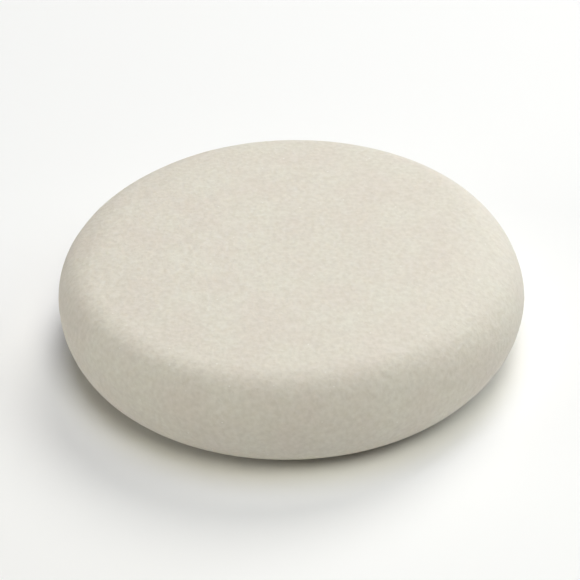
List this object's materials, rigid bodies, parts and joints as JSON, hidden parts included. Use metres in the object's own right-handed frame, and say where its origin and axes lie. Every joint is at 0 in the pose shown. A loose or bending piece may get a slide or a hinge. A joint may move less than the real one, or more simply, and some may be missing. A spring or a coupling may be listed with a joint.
{
  "type": "shaving soap puck",
  "caption": "Round cake of hard milled shaving soap with nearly flat faces, rounded shoulders and a bulging side.",
  "frame": {"origin": "centre of the flat land that the cake stands on", "axes": "+Z along the cake's axis, up from the land that it stands on; X and Y are any two square directions, because the shape is round"},
  "size_m": [0.075, 0.075, 0.019],
  "materials": {
    "soap": "dry matte milled soap, cream, with a very fine grain and faint mottling"
  },
  "bodies": {
    "root": {"soap_puck": "soap"}
  },
  "joints": []
}
